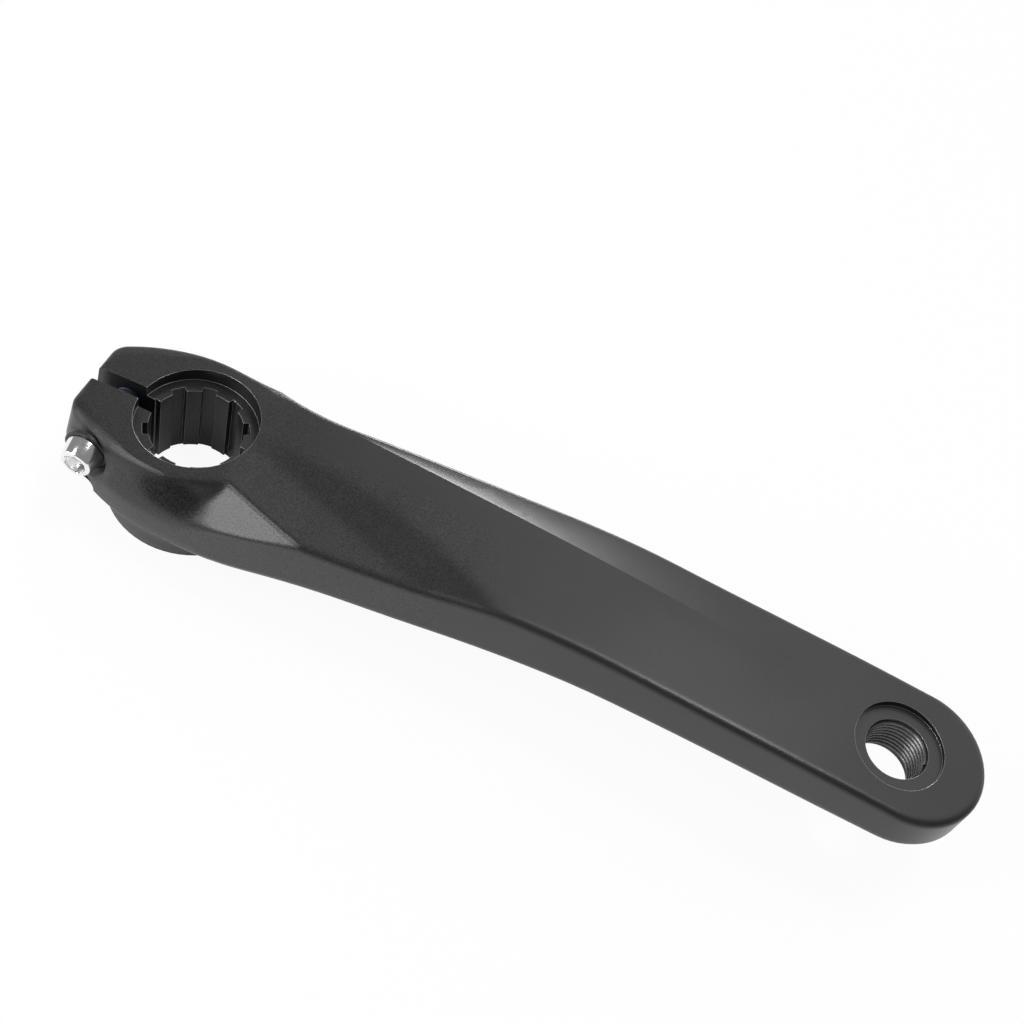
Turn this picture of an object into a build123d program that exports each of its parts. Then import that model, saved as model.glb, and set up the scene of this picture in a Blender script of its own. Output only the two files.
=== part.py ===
from build123d import *
import os

# Left bicycle crank arm: one forging, clamped on a splined spindle by two pinch bolts.
# Millimetres. Z is the spindle axis and points outboard, X points to the pedal axis.
# The origin is on the spindle axis, at mid-length of the splined bore.
# Heights below are measured from the plane of the outer bore rim, and build() moves them.

# lengths of the arm; the clamp end keeps its size when the crank length changes
crank_length = 170.0
clamp_end_length = 40.0
pedal_end_radius = 16.3
pedal_end_overhang = 3.9
end_face_x = -27.3
end_face_half_width = 11.2
eye_thickness = 13.8

# outer and inner surfaces, heights along the arm
rim_slope = 0.08
pedal_face_z = 6.0
pedal_slope = -0.053
clamp_back_z = -22.7
boss_back_z = -26.8
boss_ring_radius = 20.0

# wall of the clamp end: upright below the knee, leaning in above it
knee_z = -12.0
lean_per_mm = 0.27
top_outline_z = 10.0

# spindle bore
spline_teeth = 10
first_tooth_angle = 14.0
tooth_tip_radius = 10.76
tooth_root_radius = 12.05
groove_width = 3.3
rim_bore_radius = 14.2
spline_top_z = -4.15
spline_bottom_z = -24.9

# clamp slot
slot_width = 3.7
slot_centre_y = 0.35

# pedal eye
pedal_thread_radius = 7.144
pedal_recess_radius = 10.37
pedal_recess_depth = 1.63
thread_lead_in = 0.5

# pinch bolts and their washers
bolt_x = -18.7
outer_bolt_z = -8.0
inner_bolt_z = -18.9
bolt_radius = 3.0
shank_clearance = 0.25
thread_clearance = 0.05
seat_y = 14.6
seat_radius = 6.1
washer_radius = 5.4
washer_thickness = 1.2
head_base_radius = 4.75
head_tip_radius = 3.6
head_height = 4.6
socket_across_flats = 5.0
socket_depth = 2.8
bolt_length = 27.0

# bright facet along the far edge of the outer face
ridge_start_x = 29.0
ridge_start_y = 13.6
ridge_taper = 0.066
facet_slope = 0.3
facet_middle = 0.27
facet_reach = 0.7

# rounding of the creases on the outer face
crease_softness = 1.4

# shallow ramp across the outer face, and the lower terrace it leads down to
ramp_start_x = 20.0
ramp_start_y = 1.0
ramp_bend = 0.0042
ramp_foot_start = (19.0, -1.0)
ramp_foot_taper = 0.326
ramp_slope = 0.26

# pocket on the near side beside the bore
pocket_apex = (15.1, -12.9, 0.8)
pocket_slope_x = 0.291
pocket_slope_y = 0.939
pocket_top_z = 2.3
pocket_foot_z = -13.0
pocket_corner_radius = 2.5

# edge rounding
outer_edge_radius = 1.2
inner_edge_chamfer = 2.6
inner_edge_break = 0.9
lug_corner_radius = 4.5
ring_chamfer = 0.5
bore_chamfer = 0.6


def outer_height(x):
    """Height of the outer face: one cubic from the bore rim to the pedal eye."""
    t = x / crank_length
    if t < 0:
        return rim_slope * x
    if t > 1:
        return pedal_face_z + pedal_slope * (x - crank_length)
    start = rim_slope * crank_length * (t**3 - 2 * t**2 + t)
    end = pedal_slope * crank_length * (t**3 - t**2)
    return start + end + pedal_face_z * (3 * t**2 - 2 * t**3)


def shank_x(share):
    """Place along the shank: 0 where the clamp end stops, 1 at the pedal axis."""
    return clamp_end_length + share * (crank_length - clamp_end_length)


def arc_chain(points, tangent):
    """Tangent arcs through the points, starting along tangent."""
    arcs = []
    for start, end in zip(points[:-1], points[1:]):
        arc = TangentArc(start, end, tangent=tangent)
        arcs.append(arc)
        tangent = arc % 1
    return arcs


def plan_outline():
    """Outline of the whole arm seen along Z, at its widest."""
    eye_x = crank_length + pedal_end_overhang
    near_eye = (eye_x, -pedal_end_radius)
    far_eye = (eye_x, pedal_end_radius)
    near_lug = (end_face_x, -end_face_half_width)
    far_lug = (end_face_x, end_face_half_width)
    near_waist = [(shank_x(0.546), -15.0), (shank_x(0.209), -16.5), (29, -20.2), (-2, -20.6)]
    far_belly = [(shank_x(0.545), 19.0), (shank_x(0.342), 19.1), (33.3, 15.05)]
    far_boss = [(5.4, 18.75), (-18.4, 16.6)]
    near_wall = arc_chain([near_eye] + near_waist + [near_lug], (-1, 0))
    far_wall = arc_chain([far_eye] + far_belly + far_boss + [far_lug], (-1, 0))
    end_line = Line(near_lug, far_lug)
    eye_arc = ThreePointArc(far_eye, (eye_x + pedal_end_radius, 0), near_eye)
    outline = make_face(near_wall + far_wall + [end_line, eye_arc])
    corners = [v for v in outline.vertices() if v.X < end_face_x + 0.1]
    return fillet(corners, lug_corner_radius)


def leaning_outline(z):
    """Limit of the clamp end at height z; it leans in above the knee and runs clear of the arm."""
    inset = lean_per_mm * (z - knee_z)
    near_lug = (end_face_x + 0.35 * inset, 0.6 * inset - end_face_half_width)
    far_lug = (end_face_x + 0.35 * inset, end_face_half_width - 0.6 * inset)
    near_side = [(50, -38), (24, -25.5), (8, 0.8 * inset - 21.0)]
    near_boss = [(-3, inset - 20.6), (-15, 0.9 * inset - 17.9)]
    far_boss = [(-15, 17.9 - 0.9 * inset), (-3, 20.4 - inset)]
    far_side = [(8, 19.4 - 0.9 * inset), (20, 18.6 - 0.5 * inset), (50, 30)]
    near = Spline(near_side + near_boss + [near_lug])
    far = Spline([far_lug] + far_boss + far_side)
    ends = Polyline(near_lug, far_lug)
    outline = make_face([near, ends, far, Line((50, 30), (50, -38))])
    corners = [v for v in outline.vertices() if v.X < end_face_x + 4]
    return Plane.XY.offset(z) * fillet(corners, lug_corner_radius)


def inner_surface():
    """Region below the inner face, seen from the side and run across the whole width."""
    eye_back = pedal_face_z - eye_thickness
    eye_start = (shank_x(0.815), eye_back)
    clamp_start = (1.2, clamp_back_z)
    between = [(shank_x(0.423), -10.9), (shank_x(0.077), -15.04), (24, -19.46)]
    inner = arc_chain([eye_start] + between + [clamp_start], (-1, 0))
    right, left, low = crank_length + 30, end_face_x - 13, boss_back_z - 23
    corners = [(right, eye_back), (right, low), (left, low), (left, clamp_back_z)]
    rest = Polyline([eye_start] + corners + [clamp_start])
    return extrude(Plane.XZ.offset(-40) * make_face(inner + [rest]), 80)


def soft_step(u):
    """Zero for negative u and u for positive u, with a rounded corner between."""
    return 0.5 * (u + (u**2 + crease_softness**2) ** 0.5)


def face_height(x, y):
    """Height of the outer surface: face, far facet, ramp and terrace."""
    ridge_y = ridge_start_y - ridge_taper * (x - ridge_start_x)
    from_middle = (x - shank_x(facet_middle)) / (facet_reach * (crank_length - clamp_end_length))
    slope = facet_slope * max(0, 1 - from_middle**2) ** 2
    facet_drop = slope * soft_step(y - ridge_y)
    head_y = ramp_start_y - ramp_bend * (x - ramp_start_x) ** 2
    foot_y = ramp_foot_start[1] - ramp_foot_taper * (x - ramp_foot_start[0])
    ramp_drop = 0
    if foot_y < head_y:
        ramp_drop = ramp_slope * (soft_step(head_y - y) - soft_step(foot_y - y))
    return outer_height(x) - facet_drop - ramp_drop


def above_outer_surface():
    """Region above the sculpted outer surface."""
    step = (crank_length + 66) / 59
    xs = [step * i - 36 for i in range(60)]
    ys = [1.1 * j - 26.4 for j in range(49)]
    grid = [[(x, y, face_height(x, y)) for y in ys] for x in xs]
    surface = Face.make_surface_from_array_of_points(grid, tol=0.02)
    return extrude(surface, 30, dir=(0, 0, 1))


def arm_blank():
    """The forging: upright wall, leaning clamp end, inner face and sculpted outer face."""
    upright = extrude(Plane.XY.offset(-30) * plan_outline(), 45)
    leaning = loft([leaning_outline(knee_z - 6), leaning_outline(top_outline_z)], ruled=True)
    block = Pos(0, 0, (knee_z - 6 + top_outline_z) / 2) * Box(80, 100, top_outline_z - knee_z + 6)
    return upright - (block - leaning) - inner_surface() - above_outer_surface()


def pocket_plane_z(x, y):
    """Height of the sloping floor of the pocket."""
    return pocket_apex[2] + pocket_slope_x * (x - pocket_apex[0]) + pocket_slope_y * (y - pocket_apex[1])


def pocket_cutter():
    """Hollow between the leaning wall of the boss and the sloping floor."""
    upper_edge = Spline([(-11, -20.6), (-4, -18.0), (1, -17.0), (6, -15.6), (11, -13.6), (20, -9.0)])
    lower_edge = Spline([(-11, -26), (-4, -23.6), (1, -22.8), (6, -22.2), (11, -21.6), (20, -19.5)])
    upper_side = Polyline((20, -9.0), (45, -9.0), (45, -40), (-11, -40), (-11, -20.6))
    lower_side = Polyline((20, -19.5), (45, -19.5), (45, -40), (-11, -40), (-11, -26))
    upper = Plane.XY.offset(pocket_top_z) * make_face([upper_edge, upper_side])
    lower = Plane.XY.offset(pocket_foot_z) * make_face([lower_edge, lower_side])
    hollow = loft([lower, upper], ruled=True)
    corners = [(-40, -60), (60, -60), (60, 10), (-40, 10)]
    floor = Polyline([(x, y, pocket_plane_z(x, y)) for x, y in corners], close=True)
    above = extrude(make_face(floor), 60, dir=(0, 0, 1))
    return hollow & above


def shared_edges(body, first, second):
    """Edges between a face for which first holds and a face for which second holds."""
    ones = [e for f in body.faces() if first(f) for e in f.edges()]
    others = [e for f in body.faces() if second(f) for e in f.edges()]
    return [e for e in ones if e in others]


def faces_up(face):
    """True for the sculpted outer face."""
    return face.normal_at(face.center()).Z > 0.9


def faces_down(face):
    """True for the inner face."""
    return face.normal_at(face.center()).Z < -0.9


def faces_aside(face):
    """True for the walls and the pocket floor."""
    return abs(face.normal_at(face.center()).Z) < 0.8


def faces_slant(face):
    """True for the slanting strip round the inner face."""
    return -0.88 < face.normal_at(face.center()).Z < -0.45


def faces_not_slant(face):
    """True for everything beside that strip."""
    return not faces_slant(face)


def is_pocket_floor(face):
    """True for the sloping floor of the pocket."""
    return 0.6 < face.normal_at(face.center()).Z < 0.8


def forging():
    """Arm with its pocket and rounded edges, before machining."""
    body = arm_blank().solids()[0]
    body = body.chamfer(inner_edge_chamfer, None, shared_edges(body, faces_down, faces_aside))
    body = body.chamfer(inner_edge_break, None, shared_edges(body, faces_slant, faces_not_slant))
    body = (body - pocket_cutter()).solids()[0]
    floor_edges = shared_edges(body, is_pocket_floor, faces_aside)
    corner = [e for e in floor_edges if -20 < e.center().Y and -9 < e.center().Z and e.center().X < 14]
    body = body.fillet(pocket_corner_radius, corner)
    body = body.fillet(outer_edge_radius, shared_edges(body, faces_up, faces_aside))
    ring = extrude(Plane.XY.offset(boss_back_z) * Circle(boss_ring_radius), clamp_back_z - boss_back_z + 3)
    ring = chamfer(ring.edges().sort_by(Axis.Z)[0], ring_chamfer)
    return body + ring


def bore_cutter():
    """Rim recess, splined length and plain inner end of the spindle bore."""
    groove = Pos(tooth_root_radius / 2, 0) * Rectangle(tooth_root_radius, groove_width)
    half_pitch = 180 / spline_teeth
    grooves = PolarLocations(0, spline_teeth, start_angle=first_tooth_angle + half_pitch) * groove
    spline = Circle(tooth_tip_radius) + [g & Circle(tooth_root_radius) for g in grooves]
    teeth = extrude(Plane.XY.offset(spline_bottom_z) * spline, spline_top_z - spline_bottom_z)
    rim = Pos(0, 0, (spline_top_z + 10) / 2) * Cylinder(rim_bore_radius, 10 - spline_top_z)
    inner_end = Pos(0, 0, spline_bottom_z - 2) * Cylinder(tooth_root_radius, 4)
    mouth = Pos(0, 0, boss_back_z + bore_chamfer) * Cone(tooth_root_radius + 2, tooth_root_radius - 2, 4)
    return teeth + rim + inner_end + mouth


def slot_cutter():
    """Clamp slot from the bore to the end face."""
    return Pos(-20, slot_centre_y, -10) * Box(40, slot_width, 50)


def bolt_hole_cutter(z, side):
    """Seat, clearance hole and threaded hole of one pinch bolt; side is the sign of the head's Y."""
    seat = Pos(bolt_x, side * (seat_y + 6), z) * Rot(90, 0, 0) * Cylinder(seat_radius, 12)
    clearance = Pos(bolt_x, side * 15, z) * Rot(90, 0, 0) * Cylinder(bolt_radius + shank_clearance, 30)
    thread = Pos(bolt_x, -side * 15, z) * Rot(90, 0, 0) * Cylinder(bolt_radius + thread_clearance, 30)
    return seat + clearance + thread


def pedal_cutter():
    """Washer recess and threaded hole of the pedal eye."""
    floor_z = pedal_face_z - pedal_recess_depth
    back_z = pedal_face_z - eye_thickness
    recess = Pos(crank_length, 0, floor_z + 5) * Cylinder(pedal_recess_radius, 10)
    hole = Pos(crank_length, 0, 0) * Cylinder(pedal_thread_radius, 40)
    r = pedal_thread_radius
    top = Pos(crank_length, 0, floor_z) * Cone(r - thread_lead_in, r + thread_lead_in, 2 * thread_lead_in)
    bottom = Pos(crank_length, 0, back_z) * Cone(r + thread_lead_in, r - thread_lead_in, 2 * thread_lead_in)
    return recess + hole + top + bottom


def crank_arm():
    """Forging with all its machined features."""
    arm = forging() - bore_cutter() - slot_cutter() - pedal_cutter()
    arm = arm - bolt_hole_cutter(outer_bolt_z, -1) - bolt_hole_cutter(inner_bolt_z, 1)
    return arm.solids().sort_by(SortBy.VOLUME)[-1]


def pinch_bolt():
    """Bolt along Z with its head up; the underside of the head is at the origin."""
    head = Cone(head_base_radius, head_tip_radius, head_height, align=(Align.CENTER, Align.CENTER, Align.MIN))
    head = chamfer(head.edges().sort_by(Axis.Z)[-1], 0.4)
    shank = Pos(0, 0, -bolt_length / 2) * Cylinder(bolt_radius, bolt_length)
    shank = chamfer(shank.edges().sort_by(Axis.Z)[0], 0.6)
    socket = RegularPolygon(socket_across_flats / 2, 6, major_radius=False)
    hole = extrude(Plane.XY.offset(head_height - socket_depth) * socket, socket_depth + 1)
    return head + shank - hole


def bolt_washer():
    """Washer under a pinch bolt head, top face at the origin."""
    ring = Circle(washer_radius) - Circle(bolt_radius + shank_clearance)
    return extrude(ring, -washer_thickness)


def bolt_place(z, side):
    """Location of a pinch bolt: its head axis points to the side's Y direction."""
    y = side * (seat_y + washer_thickness)
    return Pos(bolt_x, y, z) * Rot(-90 * side, 0, 0)


def build():
    """All nodes by name."""
    middle = Pos(0, 0, -(spline_top_z + spline_bottom_z) / 2)
    outer = middle * bolt_place(outer_bolt_z, -1)
    inner = middle * bolt_place(inner_bolt_z, 1)
    return {
        "crank_arm": middle * crank_arm(),
        "outer_pinch_bolt": outer * pinch_bolt(),
        "outer_bolt_washer": outer * bolt_washer(),
        "inner_pinch_bolt": inner * pinch_bolt(),
        "inner_bolt_washer": inner * bolt_washer(),
    }


if __name__ == "__main__":
    os.makedirs("parts", exist_ok=True)
    for name, part in build().items():
        print(name, round(part.volume, 1), part.bounding_box(), part.is_valid)
        export_step(part, f"parts/{name}.step")
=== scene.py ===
"""Looks of a forged left bicycle crank arm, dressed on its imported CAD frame.

The arm is a copy of its CAD solid with a crisper, slightly hollow far facet. The pinch
bolts, their washers and the turns of the pedal thread are modelled here, and everything
gets its finish from nodes. The frame is that of the CAD model, in metres: Z is the spindle
axis and X points to the pedal eye. Sizes of the pieces are in millimetres.
"""

import logging
import math
from dataclasses import dataclass
from enum import Enum

import bpy
from mathutils import Matrix, Vector


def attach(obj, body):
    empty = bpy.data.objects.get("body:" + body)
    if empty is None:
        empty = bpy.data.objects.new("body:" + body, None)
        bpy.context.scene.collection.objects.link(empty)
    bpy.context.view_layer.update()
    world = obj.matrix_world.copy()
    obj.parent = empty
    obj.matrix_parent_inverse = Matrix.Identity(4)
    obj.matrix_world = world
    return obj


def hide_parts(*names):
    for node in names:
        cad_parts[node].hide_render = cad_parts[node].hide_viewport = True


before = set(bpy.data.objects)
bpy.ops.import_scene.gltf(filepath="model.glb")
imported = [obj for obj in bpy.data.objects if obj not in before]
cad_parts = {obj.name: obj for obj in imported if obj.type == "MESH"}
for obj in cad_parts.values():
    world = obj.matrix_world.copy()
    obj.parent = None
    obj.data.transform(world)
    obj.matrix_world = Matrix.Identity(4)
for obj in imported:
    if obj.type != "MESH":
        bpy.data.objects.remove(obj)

log = logging.getLogger("crank_arm")
MM = 0.001
RIM = 14.525  # height of the bore's outer rim over the origin, in millimetres
CRANK = 170.0  # length between the spindle and pedal axes, in millimetres
PROUD = 1.0  # how far a cutting tool stands out of its piece, in millimetres
NOISE_MIDDLE = (0.3, 0.7)  # part of a noise's range that most of it lies in

Socket = bpy.types.NodeSocket
Input = Socket | float | tuple[float, ...]
Triple = tuple[float, float, float]
Span = tuple[float, float]


def vec(x: float, y: float, z: float) -> Vector:
    """Point in metres, from millimetres with heights measured from the outer rim of the bore."""
    return Vector((x, y, z + RIM)) * MM


def share(value: float, span: Span) -> float:
    """How far a value is from the start of a span to its end, from 0 to 1."""
    return min(1.0, max(0.0, (value - span[0]) / (span[1] - span[0])))


def smooth(value: float, span: Span) -> float:
    """Smooth step from 0 at the start of a span to 1 at its end."""
    t = share(value, span)
    return t * t * (3 - 2 * t)


# Nodes


@dataclass
class Graph:
    """A node tree that is built from nothing, with short forms of the nodes used here."""

    tree: bpy.types.NodeTree

    def __post_init__(self) -> None:
        """Empties the tree."""
        self.tree.nodes.clear()

    def add(self, kind: str, **settings: object) -> bpy.types.Node:
        """Adds a node.

        Args:
            kind: type of the node, without the prefix that all have.
            settings: its properties.

        Returns:
            The node.
        """
        node = self.tree.nodes.new("ShaderNode" + kind)
        for key, value in settings.items():
            setattr(node, key, value)
        return node

    def feed(self, socket: Socket, value: Input) -> None:
        """Links a value to an input, or sets the input to it.

        Args:
            socket: input of a node.
            value: output of another node, or a number, vector or colour.
        """
        if isinstance(value, Socket):
            self.tree.links.new(value, socket)
        else:
            socket.default_value = value

    def combine(self, kind: str, operation: str, *values: Input) -> bpy.types.Node:
        """Adds a Math or VectorMath node.

        Args:
            kind: which of the two.
            operation: what it does.
            values: its inputs, in order.

        Returns:
            The node.
        """
        node = self.add(kind, operation=operation)
        for socket, value in zip(node.inputs, values):
            self.feed(socket, value)
        return node

    def math(self, operation: str, *values: Input) -> Socket:
        """Result of a Math node."""
        return self.combine("Math", operation, *values).outputs["Value"]

    def product(self, first: Socket, *others: Socket) -> Socket:
        """Multiplies values.

        Args:
            first: one value.
            others: the values that it is multiplied by, in order.

        Returns:
            The product.
        """
        for other in others:
            first = self.math("MULTIPLY", first, other)
        return first

    def coordinates(self, kind: str = "Object") -> Socket:
        """Texture coordinates of a kind."""
        return self.add("TexCoord").outputs[kind]

    def axes(self, kind: str = "Object") -> tuple[Socket, Socket]:
        """Takes texture coordinates apart.

        Args:
            kind: which coordinates.

        Returns:
            Their X and their Y.
        """
        split = self.add("SeparateXYZ")
        self.feed(split.inputs["Vector"], self.coordinates(kind))
        return split.outputs["X"], split.outputs["Y"]

    def reach(self, centre: Triple, scale: Triple) -> Socket:
        """Measures the distance from a point, with each axis scaled.

        Args:
            centre: the point.
            scale: scale along each axis; zero leaves the axis out.

        Returns:
            The scaled distance.
        """
        shift = self.combine("VectorMath", "SUBTRACT", self.coordinates(), centre)
        scaled = self.combine("VectorMath", "MULTIPLY", shift.outputs["Vector"], scale)
        return self.combine("VectorMath", "LENGTH", scaled.outputs["Vector"]).outputs["Value"]

    def distance(self, x: float) -> Socket:
        """Distance from the upright axis at an X."""
        return self.reach((x, 0.0, 0.0), (1.0, 1.0, 0.0))

    def ramp(self, value: Socket, span: Span, low: float, high: float, curve: str = "LINEAR") -> Socket:
        """Maps a span of a value to a range.

        Args:
            value: value that is mapped.
            span: where the result starts and ends to change.
            low: result at the start of the span.
            high: result at its end.
            curve: interpolation between them.

        Returns:
            The mapped value.
        """
        node = self.add("MapRange", interpolation_type=curve)
        numbers = {"From Min": span[0], "From Max": span[1], "To Min": low, "To Max": high}
        for name, number in numbers.items():
            self.feed(node.inputs[name], number)
        self.feed(node.inputs["Value"], value)
        return node.outputs["Result"]

    def ease(self, value: Socket, span: Span, low: float = 0.0, high: float = 1.0) -> Socket:
        """Maps a span of a value to a range by a smooth step."""
        return self.ramp(value, span, low, high, "SMOOTHSTEP")

    def spread(self, noise: Socket, result: Span) -> Socket:
        """Maps the middle of a noise to a range."""
        return self.ramp(noise, NOISE_MIDDLE, *result)

    def noise(self, cells: float, detail: float, stretch: Triple = (1.0, 1.0, 1.0)) -> Socket:
        """Adds a noise texture on object coordinates.

        Args:
            cells: cells per metre.
            detail: octaves of the noise.
            stretch: scale along each axis.

        Returns:
            The noise.
        """
        mapping = self.add("Mapping")
        self.feed(mapping.inputs["Vector"], self.coordinates())
        self.feed(mapping.inputs["Scale"], stretch)
        texture = self.add("TexNoise")
        self.feed(texture.inputs["Vector"], mapping.outputs["Vector"])
        self.feed(texture.inputs["Scale"], cells)
        self.feed(texture.inputs["Detail"], detail)
        return texture.outputs["Fac"]

    def tint(self, noise: Socket, dark: Triple, light: Triple) -> Socket:
        """Blends two colours by a noise.

        Args:
            noise: the noise.
            dark: colour where it is low.
            light: colour where it is high.

        Returns:
            The colour.
        """
        node = self.add("ValToRGB")
        for element, position, colour in zip(node.color_ramp.elements, NOISE_MIDDLE, (dark, light)):
            element.position = position
            element.color = (*colour, 1)
        self.feed(node.inputs["Fac"], noise)
        return node.outputs["Color"]

    def blend(self, part: Socket, one: Input, two: Input) -> Socket:
        """Mixes two colours.

        Args:
            part: share of the second.
            one: first colour.
            two: second colour.

        Returns:
            The mixed colour.
        """
        node = self.add("Mix", data_type="RGBA")
        self.feed(node.inputs["Factor"], part)
        self.feed(node.inputs["A"], one)
        self.feed(node.inputs["B"], two)
        return node.outputs["Result"]

    def layer(self, part: Socket, one: Socket, two: Socket) -> Socket:
        """Mixes two shaders.

        Args:
            part: share of the second.
            one: first shader.
            two: second shader.

        Returns:
            The mixed shader.
        """
        node = self.add("MixShader")
        self.feed(node.inputs["Fac"], part)
        self.feed(node.inputs[1], one)
        self.feed(node.inputs[2], two)
        return node.outputs["Shader"]

    def bumps(self, heights: list[tuple[Socket, float]], normal: Socket | None = None,
              strength: Input = 1.0) -> Socket:
        """Adds bumps, one over the other.

        Args:
            heights: pairs of a height and its depth in metres.
            normal: normal that the bumps start from, if not the surface's own.
            strength: strength of the last bump; the others have 1.

        Returns:
            The bumpy normal.
        """
        for height, depth in heights:
            bump = self.add("Bump")
            self.feed(bump.inputs["Strength"], 1.0)
            self.feed(bump.inputs["Distance"], depth)
            self.feed(bump.inputs["Height"], height)
            if normal is not None:
                self.feed(bump.inputs["Normal"], normal)
            normal = bump.outputs["Normal"]
        self.feed(bump.inputs["Strength"], strength)
        return normal


# Finishes


@dataclass(frozen=True)
class Finish:
    """A surface finish: one Principled shader whose colour, roughness and grain come from nodes."""

    name: str

    def start(self) -> tuple[bpy.types.Material, bpy.types.Node, Graph]:
        """Makes a plain material.

        Returns:
            The material, its Principled shader and its graph.
        """
        material = bpy.data.materials.new(self.name)
        material.use_nodes = True
        graph = Graph(material.node_tree)
        shader = graph.add("BsdfPrincipled")
        graph.feed(graph.add("OutputMaterial").inputs["Surface"], shader.outputs["BSDF"])
        return material, shader, graph


@dataclass(frozen=True)
class SatinBlack(Finish):
    """Satin black coat over a forged and blasted surface: fine grain and slow changes of gloss.

    Edges are rounded in the shading, with the three edge radii in millimetres. The coat is cut
    through on the edges of both bores. Spans of places are in metres, along X or Y or from the
    spindle or pedal axis.
    """

    name: str = "satin_black"
    roughness: float = 0.32
    rough_spread: float = 0.03
    dark: Triple = (0.011, 0.011, 0.012)
    light: Triple = (0.016, 0.016, 0.017)
    cloud_cells: float = 55.0
    cloud_depth: float = 0.00001
    grain_cells: float = 2600.0
    grain_depth: float = 0.000022
    speck: float = 0.17
    edge: float = 0.2
    soft_edge: float = 4.5
    near_edge: float = 1.9
    bare: Triple = (0.55, 0.55, 0.56)
    bare_share: float = 0.7
    clamp_x: Span = (0.026, 0.036)
    pocket_x: Span = (0.009, 0.018)
    pocket_share: float = 0.22
    off_bore: Span = (0.0165, 0.0195)
    off_slot: Span = (0.0035, 0.006)
    near_y: Span = (-0.008, -0.004)
    end_x: Span = (0.175, 0.182)
    off_eye: Span = (0.0115, 0.0135)
    eye_rim: Span = (0.0125, 0.014)
    edge_turn: Span = (0.86, 0.985)
    in_bore: Span = (0.0143, 0.0148)
    in_eye: Span = (0.0105, 0.011)
    # Painted shade on the pocket's wall: its centre, radii, fade, specular level and added roughness.
    wall_at: Triple = (0.0043, -0.019, 0.0101)
    wall_radii: Triple = (0.0105, 0.006, 0.0065)
    wall_fade: Span = (0.3, 1.15)
    painted_shade_level: Span = (0.5, 0.1)
    wall_rough: float = 0.2
    ramp_x: Span = (0.058, 0.085)
    ramp_y: Span = (0.002, 0.008)
    coarse_x: Span = (0.02, 0.034)
    coarse_share: float = 0.8
    calm_share: float = 0.12

    def radius(self, graph: Graph, spindle: Socket, pedal: Socket) -> Socket:
        """Radius of the rounding: broad on the clamp end, less on the near and end edges, fine by the bores.

        Args:
            graph: nodes of the material.
            spindle: distance from the spindle axis.
            pedal: distance from the pedal axis.

        Returns:
            The radius in metres.
        """
        x, y = graph.axes()
        clamp = graph.ease(x, self.clamp_x, 1.0, 0.0)
        off_bore = graph.ease(spindle, self.off_bore, 0.0, self.soft_edge * MM)
        off_slot = graph.ease(graph.math("ABSOLUTE", y), self.off_slot)
        off_pocket = graph.ease(x, self.pocket_x, 1.0, self.pocket_share)
        broad = graph.product(clamp, off_bore, off_slot, off_pocket)
        side = graph.math("MAXIMUM", graph.ease(y, self.near_y, 1.0, 0.0), graph.ease(x, self.end_x))
        off_eye = graph.ease(pedal, self.off_eye, 0.0, self.near_edge * MM)
        near = graph.product(side, off_eye, graph.ease(x, self.clamp_x))
        machined = graph.math("MAXIMUM", clamp, graph.ease(pedal, self.eye_rim, 1.0, 0.0))
        fine = graph.ease(machined, (0.0, 1.0), 0.0, self.edge * MM)
        return graph.math("ADD", fine, graph.math("ADD", broad, near))

    def edges(self, graph: Graph) -> tuple[Socket, Socket]:
        """Rounds the shading over edges.

        Args:
            graph: nodes of the material.

        Returns:
            The rounded normal, and a mask of the edges of the bores, where the coat is cut through.
        """
        spindle = graph.distance(0.0)
        pedal = graph.distance(CRANK * MM)
        rounding = graph.add("Bevel", samples=10)
        graph.feed(rounding.inputs["Radius"], self.radius(graph, spindle, pedal))
        rounded = rounding.outputs["Normal"]
        flat = graph.add("NewGeometry").outputs["Normal"]
        turn = graph.combine("VectorMath", "DOT_PRODUCT", flat, rounded).outputs["Value"]
        worn = graph.ease(turn, self.edge_turn, self.bare_share, 0.0)
        in_bore = graph.ease(spindle, self.in_bore, 1.0, 0.0)
        in_eye = graph.ease(pedal, self.in_eye, 1.0, 0.0)
        return rounded, graph.product(worn, graph.math("MAXIMUM", in_bore, in_eye))

    def painted_pocket_shade(self, graph: Graph) -> Socket:
        """Mask of painted shade on the wall of the pocket beside the clamp, where a lower specular level
        darkens it and a higher roughness dulls it.

        Args:
            graph: nodes of the material.

        Returns:
            One in the middle of the wall, zero away from it.
        """
        x, y, z = self.wall_radii
        return graph.ease(graph.reach(self.wall_at, (1 / x, 1 / y, 1 / z)), self.wall_fade, 1.0, 0.0)

    def blasted(self, graph: Graph) -> Socket:
        """Mask of the coarser grain: the clamp end, the ramp and the pocket.

        Args:
            graph: nodes of the material.

        Returns:
            The strength of the grain.
        """
        x, y = graph.axes()
        ramp = graph.product(graph.ease(x, self.ramp_x, 1.0, 0.0), graph.ease(y, self.ramp_y, 1.0, 0.0))
        clamp = graph.ease(x, self.coarse_x, self.coarse_share, 0.0)
        return graph.ease(graph.math("MAXIMUM", ramp, clamp), (0.0, 1.0), self.calm_share, 1.0)

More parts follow.
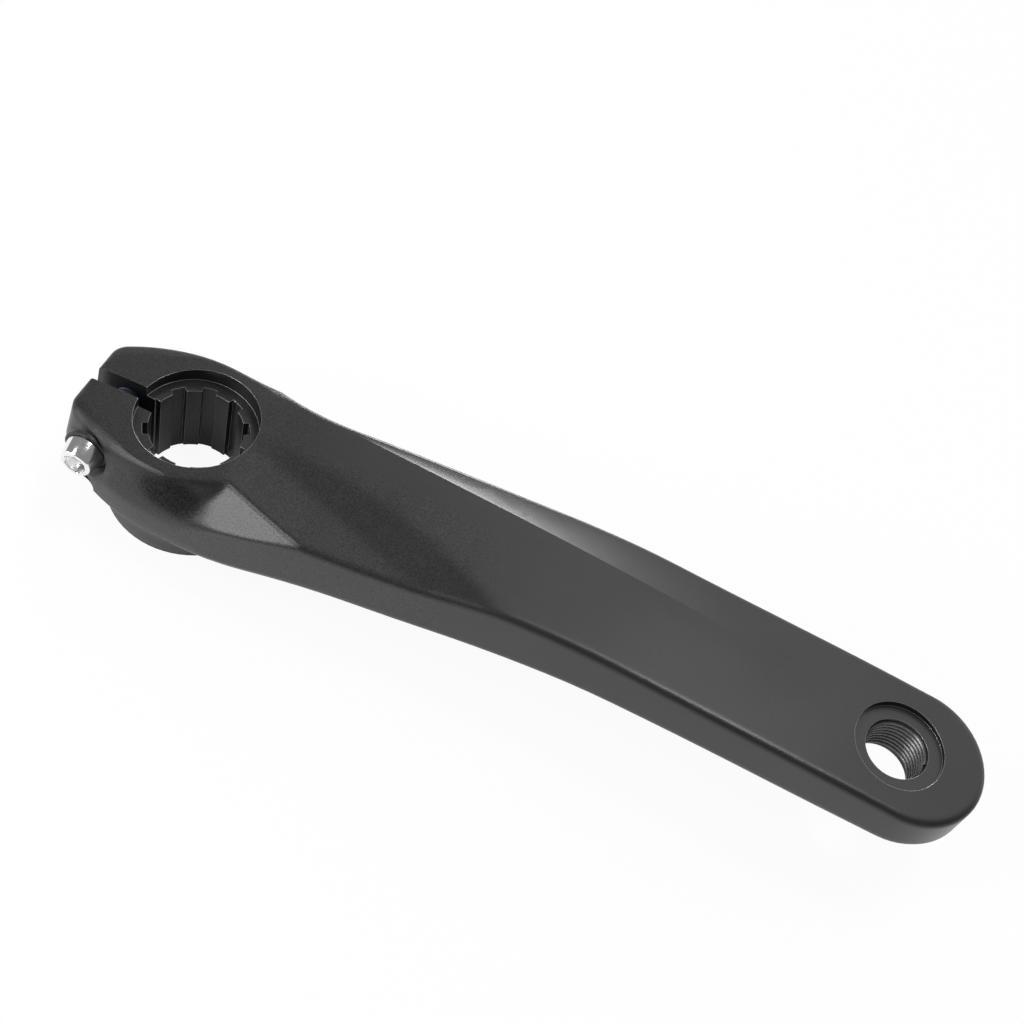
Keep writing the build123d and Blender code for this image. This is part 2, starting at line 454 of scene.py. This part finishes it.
    def make(self) -> bpy.types.Material:
        """Builds the finish.

        Returns:
            The material.
        """
        material, shader, graph = self.start()
        grain = graph.noise(self.grain_cells, detail=2.0)
        cloud = graph.noise(self.cloud_cells, detail=3.0)
        rounded, worn = self.edges(graph)
        # painted shade: a mask of the pocket's wall, where the coat is made less glossy to darken it
        wall = self.painted_pocket_shade(graph)
        coarse = self.blasted(graph)
        coat = graph.tint(cloud, self.dark, self.light)
        graph.feed(shader.inputs["Base Color"], graph.blend(worn, coat, (*self.bare, 1)))
        graph.feed(shader.inputs["Metallic"], worn)
        speck = graph.product(graph.spread(grain, (-self.speck, self.speck)), coarse)
        # painted shade: the specular level falls from 0.5 to 0.1 on the pocket's wall
        level = graph.math("ADD", graph.ease(wall, (0.0, 1.0), *self.painted_shade_level), speck)
        graph.feed(shader.inputs["Specular IOR Level"], level)
        low, high = self.roughness - self.rough_spread, self.roughness + self.rough_spread
        dull = graph.ease(wall, (0.0, 1.0), 0.0, self.wall_rough)
        graph.feed(shader.inputs["Roughness"], graph.math("ADD", graph.spread(grain, (low, high)), dull))
        heights = [(cloud, self.cloud_depth), (grain, self.grain_depth)]
        graph.feed(shader.inputs["Normal"], graph.bumps(heights, rounded, coarse))
        return material


@dataclass(frozen=True)
class PolishedSteel(Finish):
    """Bright plated steel with faint polishing marks, and dark blue thread lock inside the slot."""

    name: str = "polished_steel"
    dark: Triple = (0.84, 0.84, 0.85)
    light: Triple = (0.94, 0.94, 0.95)
    cells: float = 900.0
    stretch: Triple = (1.0, 6.0, 1.0)
    depth: float = 0.0000002
    roughness: Span = (0.1, 0.17)
    lock: Triple = (0.02, 0.03, 0.06)
    lock_y: Span = (0.0062, 0.0068)
    lock_rough: float = 0.35

    def make(self) -> bpy.types.Material:
        """Builds the finish.

        Returns:
            The material.
        """
        material, shader, graph = self.start()
        marks = graph.noise(self.cells, detail=2.0, stretch=self.stretch)
        y = graph.axes()[1]
        patch = graph.ramp(graph.math("ABSOLUTE", y), self.lock_y, 1.0, 0.0)
        steel = graph.tint(marks, self.dark, self.light)
        graph.feed(shader.inputs["Base Color"], graph.blend(patch, steel, (*self.lock, 1)))
        rough = graph.math("MULTIPLY_ADD", patch, self.lock_rough, graph.spread(marks, self.roughness))
        graph.feed(shader.inputs["Roughness"], rough)
        graph.feed(shader.inputs["Metallic"], graph.math("SUBTRACT", 1.0, patch))
        graph.feed(shader.inputs["Normal"], graph.bumps([(marks, self.depth)]))
        return material


@dataclass(frozen=True)
class CutThread(Finish):
    """Cut thread: bare metal on its crests and a dark coat in its roots."""

    name: str = "cut_thread"
    coat: Triple = (0.008, 0.008, 0.009)
    dark: Triple = (0.2, 0.2, 0.205)
    light: Triple = (0.34, 0.34, 0.345)
    cells: float = 1500.0
    stretch: Triple = (1.0, 1.0, 4.0)
    depth: float = 0.000002
    roughness: Span = (0.24, 0.34)
    flank: Span = (0.00668, 0.00698)

    def make(self) -> bpy.types.Material:
        """Builds the finish.

        Returns:
            The material.
        """
        material, shader, graph = self.start()
        marks = graph.noise(self.cells, detail=2.0, stretch=self.stretch)
        crest = graph.ease(graph.distance(CRANK * MM), self.flank, 1.0, 0.0)
        metal = graph.tint(marks, self.dark, self.light)
        graph.feed(shader.inputs["Base Color"], graph.blend(crest, (*self.coat, 1), metal))
        graph.feed(shader.inputs["Roughness"], graph.spread(marks, self.roughness))
        graph.feed(shader.inputs["Metallic"], crest)
        graph.feed(shader.inputs["Normal"], graph.bumps([(marks, self.depth)]))
        return material


@dataclass(frozen=True)
class BlackSteel(Finish):
    """Blackened spring steel."""

    name: str = "black_steel"
    dark: Triple = (0.008, 0.008, 0.009)
    light: Triple = (0.02, 0.02, 0.021)
    cells: float = 1400.0
    depth: float = 0.000004
    roughness: Span = (0.32, 0.5)

    def make(self) -> bpy.types.Material:
        """Builds the finish.

        Returns:
            The material.
        """
        material, shader, graph = self.start()
        cloud = graph.noise(self.cells, detail=3.0)
        graph.feed(shader.inputs["Base Color"], graph.tint(cloud, self.dark, self.light))
        graph.feed(shader.inputs["Roughness"], graph.spread(cloud, self.roughness))
        graph.feed(shader.inputs["Normal"], graph.bumps([(cloud, self.depth)]))
        return material


# Modelling by hand


class Side(Enum):
    """Side of the clamp that a bolt goes in from, as the sign of its head's Y."""

    NEAR = -1
    FAR = 1


def deselect() -> None:
    """Leaves every object unselected, in object mode."""
    if bpy.context.object is not None and bpy.context.object.mode != "OBJECT":
        bpy.ops.object.mode_set(mode="OBJECT")
    bpy.ops.object.select_all(action="DESELECT")


def named(name: str) -> bpy.types.Object:
    """Names the object that was just added, and its mesh.

    Args:
        name: the new name.

    Returns:
        The object.
    """
    piece = bpy.context.object
    piece.name = name
    piece.data.name = name
    return piece


def pick(piece: bpy.types.Object) -> None:
    """Makes a piece the only selected object.

    Args:
        piece: object that is selected.
    """
    deselect()
    piece.select_set(True)
    bpy.context.view_layer.objects.active = piece


def apply(piece: bpy.types.Object, kind: str, **settings: object) -> None:
    """Adds a modifier to a piece and applies it.

    Args:
        piece: object that is changed.
        kind: type of the modifier.
        settings: its properties.
    """
    pick(piece)
    modifier = piece.modifiers.new(kind.title(), kind)
    for key, value in settings.items():
        setattr(modifier, key, value)
    bpy.ops.object.modifier_apply(modifier=modifier.name)


def blunt(piece: bpy.types.Object, width: float, segments: int) -> None:
    """Bevels the edges of a piece that are sharper than 40 degrees.

    Args:
        piece: object that is changed.
        width: width of the bevel, in millimetres.
        segments: faces across it.
    """
    limit = math.radians(40)
    apply(piece, "BEVEL", width=width * MM, segments=segments, limit_method="ANGLE", angle_limit=limit)


def tidy(piece: bpy.types.Object, angle: float = 35.0) -> None:
    """Merges doubles, turns the faces outwards and smooths by angle.

    Args:
        piece: object that is finished.
        angle: edges sharper than this many degrees stay crisp.
    """
    pick(piece)
    bpy.ops.object.mode_set(mode="EDIT")
    bpy.ops.mesh.select_all(action="SELECT")
    bpy.ops.mesh.remove_doubles(threshold=0.000002)
    bpy.ops.mesh.normals_make_consistent(inside=False)
    bpy.ops.object.mode_set(mode="OBJECT")
    bpy.ops.object.shade_smooth_by_angle(angle=math.radians(angle))


def place(piece: bpy.types.Object, matrix: Matrix) -> None:
    """Puts a piece's place in its mesh, with its object at the origin.

    Args:
        piece: object that is placed.
        matrix: turn and shift from where it was made.
    """
    piece.data.transform(piece.matrix_basis)
    piece.matrix_basis = Matrix.Identity(4)
    piece.data.transform(matrix)
    piece.data.update()


def dress(piece: bpy.types.Object, material: bpy.types.Material) -> None:
    """Gives a piece one material all over."""
    piece.data.materials.clear()
    piece.data.materials.append(material)


def cylinder(name: str, radius: float, low: float, high: float, sides: int = 96,
             tip: float | None = None) -> bpy.types.Object:
    """Adds a round or hexagonal blank along Z.

    Args:
        name: name of the object.
        radius: radius at the low end, in millimetres.
        low: Z of the low end.
        high: Z of the high end.
        sides: number of sides.
        tip: radius at the high end, where it differs.

    Returns:
        The new object.
    """
    deselect()
    top = radius if tip is None else tip
    bpy.ops.mesh.primitive_cone_add(vertices=sides, radius1=radius * MM, radius2=top * MM,
                                    depth=(high - low) * MM, location=(0, 0, (low + high) / 2 * MM))
    piece = named(name)
    place(piece, Matrix.Identity(4))
    return piece


def cut(piece: bpy.types.Object, tool: bpy.types.Object) -> None:
    """Takes a tool's shape out of a piece and removes the tool."""
    apply(piece, "BOOLEAN", object=tool, operation="DIFFERENCE", solver="EXACT")
    bpy.data.objects.remove(tool)


@dataclass
class ThreadRidge:
    """The turns of a thread as one helical ridge about Z, with sizes in millimetres.

    The ridge stands on the root radius and reaches the crest radius, which is the smaller one
    for a thread in a hole. Its widths are shares of the pitch and of the width at the root,
    and the crest zone is the share of the depth in which a point belongs to the crest.
    """

    name: str
    root: float
    crest: float
    pitch: float
    start: float
    turns: int
    left: bool
    steps: int
    root_share: float = 0.98
    crest_share: float = 0.14
    crest_zone: float = 0.3

    def section(self) -> bpy.types.Object:
        """Models the section as one upright face.

        Returns:
            The new object.
        """
        deselect()
        depth = abs(self.root - self.crest)
        middle = (self.root + self.crest) / 2
        bpy.ops.mesh.primitive_plane_add(size=1.0, location=(0, 0, 0))
        piece = named(self.name)
        bpy.ops.object.mode_set(mode="EDIT")
        bpy.ops.mesh.select_all(action="SELECT")
        bpy.ops.transform.resize(value=(depth * MM, self.pitch * self.root_share * MM, 1),
                                 center_override=(0, 0, 0))
        bpy.ops.transform.rotate(value=math.radians(90), orient_axis="X", center_override=(0, 0, 0))
        bpy.ops.transform.translate(value=(middle * MM, 0, self.start * MM))
        bpy.ops.object.mode_set(mode="OBJECT")
        for vertex in piece.data.vertices:
            if abs(vertex.co.x - self.crest * MM) < self.crest_zone * depth * MM:
                vertex.co.z = self.start * MM + (vertex.co.z - self.start * MM) * self.crest_share
        return piece

    def build(self) -> bpy.types.Object:
        """Sweeps the section round the axis.

        Returns:
            The ridge.
        """
        piece = self.section()
        rise = -self.pitch if self.left else self.pitch
        apply(piece, "SCREW", axis="Z", angle=math.tau, screw_offset=rise * MM, iterations=self.turns,
              steps=self.steps, render_steps=self.steps, use_normal_calculate=True)
        return piece


# Pieces


@dataclass
class PinchBolt:
    """Conical-head socket bolt that closes the clamp, made along Z with its head up."""

    name: str
    node: str
    height: float
    side: Side
    x: float = -18.7
    seat: float = 14.6
    washer: float = 1.2
    head_base: float = 4.75
    head_tip: float = 3.6
    head_height: float = 4.6
    head_bevel: float = 0.45
    shank: float = 3.0
    shank_core: float = 2.7
    shank_bevel: float = 0.5
    neck: float = 7.5
    length: float = 27.0
    pitch: float = 1.0
    thread_depth: float = 0.35
    thread_gap: float = 1.5
    turns: int = 18
    socket_flats: float = 5.0
    socket_depth: float = 2.8
    mouth_depth: float = 0.35
    mouth_inset: float = 0.2
    mouth_flare: float = 0.5
    shank_overlap: float = 0.1
    neck_overlap: float = 0.05
    sides: int = 64

    def matrix(self) -> Matrix:
        """Finds the bolt's place in the clamp.

        Returns:
            Turn and shift from its own axis.
        """
        y = self.side.value * (self.seat + self.washer)
        turn = Matrix.Rotation(math.radians(-90 * self.side.value), 4, "X")
        return Matrix.Translation(vec(self.x, y, self.height)) @ turn

    def head(self) -> bpy.types.Object:
        """Models the tapered head with a rounded rim and a hexagonal socket.

        Returns:
            The head.
        """
        top = self.head_height
        half = self.socket_flats / 2
        piece = cylinder(self.name, self.head_base, 0, top, tip=self.head_tip)
        blunt(piece, self.head_bevel, segments=4)
        corner = half / math.cos(math.pi / 6)
        cut(piece, cylinder("key", corner, top - self.socket_depth, top + PROUD, sides=6))
        mouth = cylinder("mouth", half - self.mouth_inset, top - self.mouth_depth, top + self.mouth_depth,
                         tip=half + self.mouth_flare)
        cut(piece, mouth)
        return piece

    def build(self, finish: bpy.types.Material) -> list[bpy.types.Object]:
        """Models the bolt and puts it in the clamp.

        Args:
            finish: plated steel.

        Returns:
            The head with its shank.
        """
        piece = self.head()
        shank = cylinder("shank", self.shank_core, -self.length, self.shank_overlap, self.sides)
        blunt(shank, self.shank_bevel, segments=2)
        ridge = ThreadRidge("ridge", self.shank - self.thread_depth, self.shank, self.pitch,
                            -self.length + self.thread_gap, self.turns, left=False, steps=32).build()
        neck = cylinder("neck", self.shank, -self.neck, self.neck_overlap, self.sides)
        for part in (shank, ridge, neck):
            tidy(part)
        tidy(piece)
        pick(piece)
        for part in (shank, ridge, neck):
            part.select_set(True)
        bpy.ops.object.join()
        place(piece, self.matrix())
        dress(piece, finish)
        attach(piece, "root")
        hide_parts(self.node)
        return [piece]


@dataclass
class BoltWasher:
    """Dark washer under a bolt's head, made along Z with its top at the origin."""

    name: str
    node: str
    bolt: PinchBolt
    outer: float = 5.4
    inner: float = 3.25
    thickness: float = 1.2
    bevel: float = 0.22

    def build(self, finish: bpy.types.Material) -> list[bpy.types.Object]:
        """Models the washer and puts it under its bolt's head.

        Args:
            finish: blackened steel.

        Returns:
            The washer.
        """
        piece = cylinder(self.name, self.outer, -self.thickness, 0)
        cut(piece, cylinder("hole", self.inner, -self.thickness - PROUD, PROUD))
        blunt(piece, self.bevel, segments=3)
        tidy(piece)
        place(piece, self.bolt.matrix())
        dress(piece, finish)
        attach(piece, "root")
        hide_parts(self.node)
        return [piece]


@dataclass
class PedalThread:
    """Left-hand turns of the pedal thread, standing inside the plain hole of the solid.

    The root goes a little deeper than the hole's wall, so that no gap shows.
    """

    name: str = "pedal_thread_turns"
    x: float = CRANK
    major: float = 7.144
    sunk: float = 0.05
    minor: float = 6.6
    pitch: float = 1.27
    low: float = -6.9
    turns: int = 8

    def build(self, finish: bpy.types.Material) -> list[bpy.types.Object]:
        """Models the turns and puts them in the pedal eye.

        Args:
            finish: cut thread.

        Returns:
            The turns as one piece.
        """
        top = self.low + self.turns * self.pitch
        piece = ThreadRidge(self.name, self.major + self.sunk, self.minor, self.pitch, top, self.turns,
                            left=True, steps=72).build()
        tidy(piece)
        place(piece, Matrix.Translation(vec(self.x, 0, 0)))
        dress(piece, finish)
        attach(piece, "root")
        return [piece]


@dataclass
class Forging:
    """The arm itself: a copy of its CAD solid whose far facet gets a crisp ridge and a hollow face.

    The facet lies beyond the ridge line. It falls away from the main face by its slope, which
    fades to nothing at both ends of the arm. Its bowl is narrowest at one place, and widens by
    one rate towards the clamp and another towards the pedal. The other spans are places along
    X, distances beyond the ridge or depths under the CAD surface.
    """

    name: str = "forged_arm"
    node: str = "crank_arm"
    length: float = CRANK
    rim_slope: float = 0.08
    pedal_z: float = 6.0
    pedal_slope: float = -0.053
    ridge_x: float = 29.0
    ridge_y: float = 13.6
    ridge_taper: float = 0.066
    slope: float = 0.3
    middle: float = 75.1
    reach: float = 91.0
    softness: float = 1.4
    crisp_x: Span = (30.0, 38.0)
    face_fade: Span = (-11.0, -4.0)
    narrow_x: float = 33.0
    narrow: float = 1.7
    wide: float = 11.0
    widening: Span = (0.06, 0.155)
    hollow: float = 0.42
    extra_hollow: float = 0.15
    extra_x: Span = (70.0, 40.0)
    zone_x: Span = (12.0, 168.0)
    zone_u: float = -13.0
    move_depth: Span = (4.5, 2.0)
    turn_depth: float = 3.0
    turn_upright: float = 0.02
    probe: float = 0.05
    slice_depth: float = 5.0
    rows: tuple[float, ...] = (0.0, -4.5, -2.5, -1.2, -0.5, 0.5, 1.2, 2.2, 3.4, 4.8, 6.4, 8.2)
    row_upright: float = 0.85
    columns: tuple[int, int, int] = (20, 164, 4)
    column_upright: float = -0.2

    def above_ridge(self, x: float, y: float) -> float:
        """Distance beyond the ridge line, towards the far edge."""
        return y - self.ridge_y + self.ridge_taper * (x - self.ridge_x)

    def in_zone(self, x: float, y: float) -> bool:
        """True on the facet and beside it."""
        return self.zone_x[0] < x < self.zone_x[1] and self.above_ridge(x, y) > self.zone_u

    def facet_slope(self, x: float) -> float:
        """Slope of the CAD facet at a place along the arm."""
        return self.slope * max(0.0, 1 - ((x - self.middle) / self.reach) ** 2) ** 2

    def drop(self, u: float) -> float:
        """Drop of the CAD facet for a slope of one."""
        return 0.5 * (u + math.hypot(u, self.softness))

    def bowl(self, x: float, u: float) -> float:
        """Drop of the hollow facet for a slope of one.

        Args:
            x: place along the arm, in millimetres.
            u: distance beyond the ridge.

        Returns:
            The drop in millimetres.
        """
        rate = self.widening[1] if x > self.narrow_x else self.widening[0]
        width = min(self.wide, self.narrow + abs(x - self.narrow_x) * rate)
        hollow = self.hollow + self.extra_hollow * share(x, self.extra_x)
        if u < width:
            return (1 + hollow) * u - hollow * u * u / width
        return width + (1 - hollow) * (u - width)

    def change(self, x: float, y: float, far: bool) -> float:
        """Height that the facet's surface gains over the CAD one.

        Args:
            x: place along the arm, in millimetres.
            y: place across it.
            far: True on the facet's side of the ridge.

        Returns:
            The change in millimetres.
        """
        u = self.above_ridge(x, y)
        slope = self.facet_slope(x) * smooth(x, self.crisp_x)
        if far:
            return slope * (self.drop(u) - self.bowl(x, u))
        return slope * self.drop(u) * smooth(u, self.face_fade)

    def skin_height(self, x: float, y: float) -> float:
        """Finds the height of the CAD surface.

        Args:
            x: place along the arm, in millimetres.
            y: place across it.

        Returns:
            The height from the rim.
        """
        t = share(x, (0.0, self.length))
        start = self.rim_slope * self.length * (t**3 - 2 * t * t + t)
        end = self.pedal_slope * self.length * (t**3 - t * t)
        rise = self.pedal_z * (3 * t * t - 2 * t**3)
        return start + end + rise - self.facet_slope(x) * self.drop(self.above_ridge(x, y))

    def copied(self) -> bpy.types.Object:
        """Copies the CAD mesh and keeps its normals in an attribute.

        Returns:
            The copy, merged.
        """
        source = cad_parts[self.node]
        piece = source.copy()
        piece.data = source.data.copy()
        bpy.context.scene.collection.objects.link(piece)
        piece.name = piece.data.name = self.name
        layer = piece.data.attributes.new("cad_normal", "FLOAT_VECTOR", "CORNER")
        for corner, normal in zip(layer.data, piece.data.corner_normals):
            corner.vector = normal.vector
        pick(piece)
        bpy.ops.mesh.customdata_custom_splitnormals_clear()
        bpy.ops.object.mode_set(mode="EDIT")
        bpy.ops.mesh.select_all(action="SELECT")
        bpy.ops.mesh.remove_doubles(threshold=0.000001)
        bpy.ops.object.mode_set(mode="OBJECT")
        return piece

    def slice(self, piece: bpy.types.Object, point: Vector, normal: Triple, upright: float) -> None:
        """Cuts new edges into the facet's zone, along one plane.

        Args:
            piece: the copy.
            point: point of the plane, in metres.
            normal: its direction.
            upright: only faces whose normal has at least this Z are cut.
        """
        pick(piece)
        bpy.ops.object.mode_set(mode="EDIT")
        bpy.ops.mesh.select_all(action="DESELECT")
        bpy.ops.mesh.select_mode(type="FACE")
        bpy.ops.object.mode_set(mode="OBJECT")
        for face in piece.data.polygons:
            x, y, z = face.center.x / MM, face.center.y / MM, face.center.z / MM - RIM
            face.select = (self.in_zone(x, y) and face.normal.z >= upright
                           and z > self.skin_height(x, y) - self.slice_depth)
        bpy.ops.object.mode_set(mode="EDIT")
        bpy.ops.mesh.bisect(plane_co=point, plane_no=normal, threshold=0.000001)
        bpy.ops.object.mode_set(mode="OBJECT")

    def turned(self, normal: Vector, x: float, y: float, far: bool) -> Vector:
        """Turns a normal with the surface under it.

        Args:
            normal: normal of the CAD surface.
            x: place along the arm, in millimetres.
            y: place across it.
            far: True on the facet's side of the ridge.

        Returns:
            The turned normal.
        """
        d = self.probe
        lean_x = (self.change(x + d, y, far) - self.change(x - d, y, far)) / (2 * d)
        lean_y = (self.change(x, y + d, far) - self.change(x, y - d, far)) / (2 * d)
        return Vector((normal.x - normal.z * lean_x, normal.y - normal.z * lean_y, normal.z)).normalized()

    def sharpen(self, piece: bpy.types.Object) -> None:
        """Moves the facet's points to the crisp shape and turns the kept normals with them.

        Args:
            piece: the copy, with its new edges.
        """
        mesh = piece.data
        layer = mesh.attributes["cad_normal"]
        normals = [Vector(corner.vector) for corner in layer.data]
        spots = [(v.co.x / MM, v.co.y / MM, v.co.z / MM - RIM) for v in mesh.vertices]
        for face in mesh.polygons:
            centre = (face.center.x / MM, face.center.y / MM)
            if not self.in_zone(*centre):
                continue
            far = self.above_ridge(*centre) > 0
            for loop in face.loop_indices:
                x, y, z = spots[mesh.loops[loop].vertex_index]
                high = z >= self.skin_height(x, y) - self.turn_depth
                if high and normals[loop].z >= self.turn_upright:
                    normals[loop] = self.turned(normals[loop], x, y, far)
        for vertex, (x, y, z) in zip(mesh.vertices, spots):
            if self.in_zone(x, y):
                gain = self.change(x, y, self.above_ridge(x, y) > 0)
                vertex.co.z += gain * smooth(self.skin_height(x, y) - z, self.move_depth) * MM
        mesh.attributes.remove(layer)
        mesh.update()
        mesh.shade_smooth()
        mesh.normals_split_custom_set([tuple(n) for n in normals])

    def build(self, finish: bpy.types.Material) -> list[bpy.types.Object]:
        """Copies the solid, shapes the facet and dresses the arm.

        Args:
            finish: satin black.

        Returns:
            The arm as one piece.
        """
        piece = self.copied()
        across = (self.ridge_taper, 1.0, 0.0)
        for offset in self.rows:
            self.slice(piece, vec(self.ridge_x, self.ridge_y + offset, 0), across, self.row_upright)
        for x in range(*self.columns):
            self.slice(piece, vec(x, 0, 0), (1.0, 0.0, 0.0), self.column_upright)
        self.sharpen(piece)
        dress(piece, finish)
        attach(piece, "root")
        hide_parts(self.node)
        return [piece]


# Studio


@dataclass
class Softbox:
    """A soft lamp that shines on the middle of the arm, with its size and distance in metres."""

    name: str
    direction: Triple
    size: Span
    radiance: float
    distance: float = 0.9

    def build(self, target: Vector) -> None:
        """Hangs the lamp.

        Args:
            target: point that it faces.
        """
        data = bpy.data.lights.new(self.name, "AREA")
        data.shape = "RECTANGLE"
        data.size, data.size_y = self.size
        data.energy = self.radiance * math.pi * self.size[0] * self.size[1]
        lamp = bpy.data.objects.new(self.name, data)
        bpy.context.scene.collection.objects.link(lamp)
        away = Vector(self.direction).normalized()
        turn = away.to_track_quat("Z", "Y").to_matrix().to_4x4()
        lamp.matrix_world = Matrix.Translation(target + away * self.distance) @ turn


@dataclass
class Studio:
    """Pale floor, lamps, sky and the camera.

    The middle, the floor's height and the camera's place are in millimetres. Places on the
    floor are in metres from its middle, and those in the sky are parts of a direction.
    """

    middle: Triple = (80.0, 0.0, 0.0)
    floor_z: float = -26.8
    paper: float = 0.9
    glow: float = 0.93
    front_y: Span = (-0.4, -0.14)
    front_glow: float = 0.25
    half_length: float = 0.092
    # Painted shadow of the arm in the floor's reflections: where it ends, and the glow left inside it.
    past_arm: Span = (0.014, 0.026)
    painted_shadow_glow: float = 0.2
    behind_y: Span = (0.34, 0.56)
    side_x: Span = (-0.34, -0.08)
    side_level: Span = (0.48, 1.05)
    dim_level: float = 0.24
    lens: float = 55.80
    camera_at: Triple = (97.67, -196.98, 289.80)
    right: Triple = (0.89634, 0.39162, 0.20786)
    down: Triple = (0.43774, -0.70724, -0.55516)
    forward: Triple = (-0.0704, 0.5886, -0.80535)
    lamps: tuple[Softbox, ...] = (
        Softbox("low_back_panel", (-0.2, 0.97, 0.12), (0.19, 0.2), 15.5),
        Softbox("high_back_strip", (0.15, 0.25, 0.957), (0.3, 0.06), 46.0),
        Softbox("left_strip", (-0.55, -0.24, 0.8), (0.36, 0.09), 19.0),
        Softbox("front_left_panel", (-0.62, -0.65, 0.43), (0.26, 0.3), 10.0),
        Softbox("left_panel", (-0.93, -0.3, 0.22), (0.24, 0.3), 5.0),
    )

    def camera(self) -> None:
        """Sets the camera at the photograph's angle."""
        data = bpy.data.cameras.new("camera")
        data.lens = self.lens
        data.sensor_width = 36.0
        data.clip_start, data.clip_end = 0.01, 50.0
        camera = bpy.data.objects.new("camera", data)
        bpy.context.scene.collection.objects.link(camera)
        axes = Matrix((Vector(self.right), -Vector(self.down), -Vector(self.forward))).transposed()
        camera.matrix_world = Matrix.Translation(vec(*self.camera_at)) @ axes.to_4x4()
        bpy.context.scene.camera = camera

    def floor(self) -> None:
        """Lays a white floor that keeps the arm's shadow.

        The camera sees it white. In the arm's reflections it glows as painted light, bright behind and dim
        in front of the arm, and close to the arm its glow is cut as a painted shadow of the arm.
        """
        deselect()
        bpy.ops.mesh.primitive_plane_add(size=6.0, location=vec(*self.middle[:2], self.floor_z))
        floor = named("floor")
        material = bpy.data.materials.new("white_paper")
        material.use_nodes = True
        graph = Graph(material.node_tree)
        paper = graph.add("BsdfDiffuse")
        graph.feed(paper.inputs["Color"], (self.paper, self.paper, self.paper, 1))
        white = graph.add("Emission")
        graph.feed(white.inputs["Strength"], 1.0)
        path = graph.add("LightPath")
        x, y = graph.axes()
        front = graph.ease(y, self.front_y, self.front_glow, self.glow)
        past_ends = graph.math("SUBTRACT", graph.math("ABSOLUTE", x), self.half_length)
        past = graph.math("MAXIMUM", past_ends, graph.math("ABSOLUTE", y))
        # painted shadow: close to the arm the glow that it reflects is cut to a fifth
        lit = graph.product(front, graph.ease(past, self.past_arm, self.painted_shadow_glow, 1.0))
        seen = graph.math("MULTIPLY", path.outputs["Is Camera Ray"], self.glow)
        mirrored = graph.product(path.outputs["Is Glossy Ray"], lit)
        surface = graph.layer(graph.math("MAXIMUM", seen, mirrored), paper.outputs["BSDF"],
                              white.outputs["Emission"])
        graph.feed(graph.add("OutputMaterial").inputs["Surface"], surface)
        dress(floor, material)

    def sky(self) -> None:
        """White for the camera; for the arm a soft dome, bright behind it and dim overhead and in front."""
        world = bpy.data.worlds.new("studio")
        bpy.context.scene.world = world
        world.use_nodes = True
        graph = Graph(world.node_tree)
        x, y = graph.axes("Generated")
        side = graph.ease(x, self.side_x, *self.side_level)
        level = graph.math("MULTIPLY_ADD", graph.ease(y, self.behind_y), side, self.dim_level)
        dome = graph.add("Background")
        white = graph.add("Background")
        for background, strength in ((dome, level), (white, 1.0)):
            graph.feed(background.inputs["Color"], (1, 1, 1, 1))
            graph.feed(background.inputs["Strength"], strength)
        seen = graph.add("LightPath").outputs["Is Camera Ray"]
        surface = graph.layer(seen, dome.outputs["Background"], white.outputs["Background"])
        graph.feed(graph.add("OutputWorld").inputs["Surface"], surface)

    def build(self) -> None:
        """Sets up camera, floor, sky and lamps."""
        self.camera()
        self.floor()
        self.sky()
        for lamp in self.lamps:
            lamp.build(vec(*self.middle))
        bpy.context.scene.view_settings.view_transform = "Standard"


def main() -> None:
    """Builds the scene: studio first, then the arm and its small parts."""
    logging.basicConfig(level=logging.INFO, format="%(message)s")
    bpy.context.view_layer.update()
    Studio().build()
    black = SatinBlack().make()
    bright = PolishedSteel().make()
    dark = BlackSteel().make()
    outer = PinchBolt("outer_bolt", "outer_pinch_bolt", -8.0, Side.NEAR)
    inner = PinchBolt("inner_bolt", "inner_pinch_bolt", -18.9, Side.FAR)
    made = Forging().build(black)
    made += PedalThread().build(CutThread().make())
    made += outer.build(bright)
    made += inner.build(bright)
    made += BoltWasher("outer_washer", "outer_bolt_washer", outer).build(dark)
    made += BoltWasher("inner_washer", "inner_bolt_washer", inner).build(dark)
    for piece in made:
        log.info("%s: %d faces", piece.name, len(piece.data.polygons))
    deselect()


if __name__ == "__main__":
    main()
